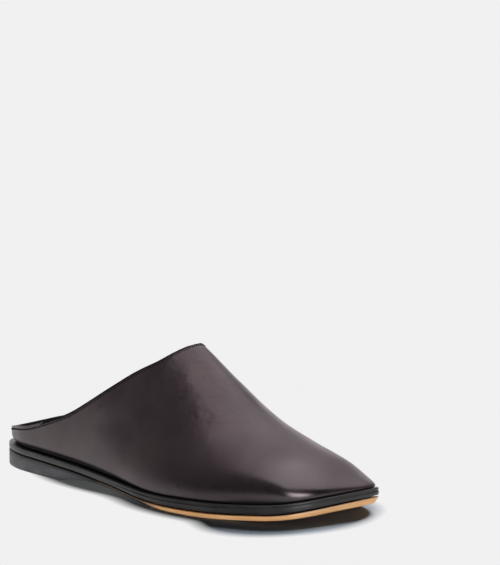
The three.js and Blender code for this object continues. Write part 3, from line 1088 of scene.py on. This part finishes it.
studio = {
    "paper": (0.28, 0.315, 0.36),  # the cool floor where the shoe shades it
    "backdrop": 0.877,
    "fill": 0.015, "dark": 0.03,  # what the leather gathers from the room, and what it mirrors of it
    "suns": [
        {"name": "backSun", "azimuth": 110, "elevation": 42, "angle": 20, "strength": 4.7},
        {"name": "frontFill", "azimuth": -62, "elevation": 1.0, "angle": 8, "strength": 2.9},
    ],
    "cards": [
        {"name": "overheadBox", "at": (0.38, 0.215, 1.0), "to": (0.38, 0.2, 0),
         "size": (1.2, 1.87), "watts": 13, "color": (1, 0.96, 0.98)},
        {"name": "toeCard", "at": (1.25, -0.42, 0.24), "to": (0.2, 0, 0.02),
         "size": (0.9, 0.48), "watts": 9.5, "color": (1, 0.97, 0.97)},
        {"name": "backdropCard", "at": (-0.85, 0.95, 0.35), "to": (0.1, 0, 0.15),
         "size": (2.2, 0.9), "watts": 7.5, "color": (1, 0.91, 0.95)},
    ],
    "shadows": [  # where the floor takes shadow, in metres: centre and reach
        {"centre": (0.194, -0.009), "reach": (0.038, 0.053)},
        {"centre": (0.150, -0.008), "reach": (0.075, 0.045)},
        {"centre": (0.085, -0.003), "reach": (0.084, 0.036)},
    ],
    "shadowEdge": (0.92, 1.12),  # shares of the reach between which it fades
    "shadowBlend": 0.3,  # how softly the patches join
    "waistLight": 0.07, "waistFrom": 0.135, "waistTo": 0.085,  # light under the raised waist
    "floorRadii": (0.3, 0.6, 0.95), "floorCorners": 48,
    "cameraTarget": (140 * mm, 40 * mm, 35 * mm),
    "cameraDistance": 1.1,
    "cameraSwing": 43.742, "cameraRise": 9.5,  # degrees, of the place
    "cameraTurn": 43.375, "cameraTilt": 5.57,  # degrees, of the view
    "lens": 125.42,
}


def shadePattern(nodes, links):
    # 0 where the floor takes shadow, 1 where it is the even backdrop
    place = objectCoordinates(nodes)
    nearest = None
    for patch in studio["shadows"]:
        zone = nodes.new("ShaderNodeMapping")
        zone.vector_type = "TEXTURE"
        zone.inputs["Location"].default_value = (*patch["centre"], 0)
        zone.inputs["Scale"].default_value = (*patch["reach"], 1)
        links.new(place, zone.inputs["Vector"])
        length = nodes.new("ShaderNodeVectorMath")
        length.operation = "LENGTH"
        links.new(zone.outputs["Vector"], length.inputs[0])
        if nearest is None:
            nearest = length.outputs["Value"]
            continue
        smaller = nodes.new("ShaderNodeMath")
        smaller.operation = "SMOOTH_MIN"
        smaller.inputs[2].default_value = studio["shadowBlend"]
        links.new(nearest, smaller.inputs[0])
        links.new(length.outputs["Value"], smaller.inputs[1])
        nearest = smaller.outputs[0]
    edge = spread(nodes, links, nearest, *studio["shadowEdge"], 0, 1)
    split = nodes.new("ShaderNodeSeparateXYZ")
    links.new(place, split.inputs[0])
    waist = spread(nodes, links, split.outputs["X"], studio["waistFrom"], studio["waistTo"],
                   0, studio["waistLight"])
    lighter = nodes.new("ShaderNodeMath")
    lighter.operation = "MAXIMUM"
    links.new(edge, lighter.inputs[0])
    links.new(waist, lighter.inputs[1])
    return lighter.outputs[0]


def palePaper():
    finish = bpy.data.materials.new("palePaper")
    finish.use_nodes = True
    nodes, links = finish.node_tree.nodes, finish.node_tree.links
    nodes.clear()
    output = nodes.new("ShaderNodeOutputMaterial")
    paper = nodes.new("ShaderNodeBsdfDiffuse")
    paper.inputs["Color"].default_value = (*studio["paper"], 1)
    far = nodes.new("ShaderNodeEmission")
    far.inputs["Color"].default_value = (studio["backdrop"],) * 3 + (1,)
    mix = nodes.new("ShaderNodeMixShader")
    links.new(shadePattern(nodes, links), mix.inputs[0])
    links.new(paper.outputs[0], mix.inputs[1])
    links.new(far.outputs[0], mix.inputs[2])
    links.new(mix.outputs[0], output.inputs[0])
    return finish


def makeSweep():
    around, radii = studio["floorCorners"], studio["floorRadii"]
    points = []
    for radius in radii:
        for k in range(around):
            angle = 2 * math.pi * k / around
            points.append((radius * math.cos(angle), radius * math.sin(angle), 0))
    faces = [tuple(range(around))]
    for i in range(len(radii) - 1):
        for k in range(around):
            a, b = i * around + k, i * around + (k + 1) % around
            faces.append((a, a + around, b + around, b))
    data = bpy.data.meshes.new("paperSweep")
    data.from_pydata(points, [], faces)
    data.materials.append(palePaper())
    floor = bpy.data.objects.new("paperSweep", data)
    scene.collection.objects.link(floor)


def makeWorld():
    world = bpy.data.worlds.new("studioAir")
    scene.world = world
    world.use_nodes = True
    nodes, links = world.node_tree.nodes, world.node_tree.links
    nodes.clear()
    output = nodes.new("ShaderNodeOutputWorld")
    rays = nodes.new("ShaderNodeLightPath")
    air = nodes.new("ShaderNodeBackground")
    for brightness, kind in ((studio["dark"], "Is Glossy Ray"), (studio["backdrop"], "Is Camera Ray")):
        seen = nodes.new("ShaderNodeBackground")
        seen.inputs["Color"].default_value = (brightness,) * 3 + (1,)
        if kind == "Is Glossy Ray":
            air.inputs["Color"].default_value = (studio["fill"],) * 3 + (1,)
        mix = nodes.new("ShaderNodeMixShader")
        links.new(rays.outputs[kind], mix.inputs[0])
        links.new(air.outputs[0], mix.inputs[1])
        links.new(seen.outputs[0], mix.inputs[2])
        air = mix
    links.new(air.outputs[0], output.inputs[0])


def makeLights():
    for spec in studio["cards"]:
        data = bpy.data.lights.new(spec["name"], "AREA")
        data.shape = "RECTANGLE"
        data.size, data.size_y = spec["size"]
        data.energy = spec["watts"]
        data.color = spec["color"]
        lamp = bpy.data.objects.new(spec["name"], data)
        lamp.location = spec["at"]
        aim = Vector(spec["to"]) - Vector(spec["at"])
        lamp.rotation_euler = aim.to_track_quat("-Z", "Y").to_euler()
        lamp.visible_diffuse = False  # the cards are only mirrored
        lamp.visible_camera = False
        scene.collection.objects.link(lamp)
    for spec in studio["suns"]:
        data = bpy.data.lights.new(spec["name"], "SUN")
        data.energy = spec["strength"]
        data.angle = math.radians(spec["angle"])
        lamp = bpy.data.objects.new(spec["name"], data)
        azimuth, elevation = math.radians(spec["azimuth"]), math.radians(spec["elevation"])
        flat = math.cos(elevation)
        toSun = Vector((math.cos(azimuth) * flat, math.sin(azimuth) * flat, math.sin(elevation)))
        lamp.rotation_euler = toSun.to_track_quat("Z", "Y").to_euler()
        lamp.visible_glossy = False  # the cards are mirrored instead
        scene.collection.objects.link(lamp)


def makeCamera():
    swing, rise = math.radians(studio["cameraSwing"]), math.radians(studio["cameraRise"])
    turn, tilt = math.radians(studio["cameraTurn"]), math.radians(studio["cameraTilt"])
    target = Vector(studio["cameraTarget"]) - Vector((originX, 0, 0))
    outward = Vector((math.sin(swing) * math.cos(rise), -math.cos(swing) * math.cos(rise), math.sin(rise)))
    place = target + studio["cameraDistance"] * outward
    right = Vector((math.cos(turn), math.sin(turn), 0))
    back = Vector((math.sin(turn) * math.cos(tilt), -math.cos(turn) * math.cos(tilt), math.sin(tilt)))
    up = back.cross(right)
    data = bpy.data.cameras.new("photoCamera")
    data.lens = studio["lens"]
    data.sensor_width = 36
    data.clip_start, data.clip_end = 0.01, 20
    camera = bpy.data.objects.new("photoCamera", data)
    basis = Matrix((right, up, back)).transposed().to_4x4()
    camera.matrix_world = Matrix.Translation(place) @ basis
    scene.collection.objects.link(camera)
    scene.camera = camera


makeSweep()
makeWorld()
makeLights()
makeCamera()
scene.view_settings.view_transform = "Standard"
print("studio made")
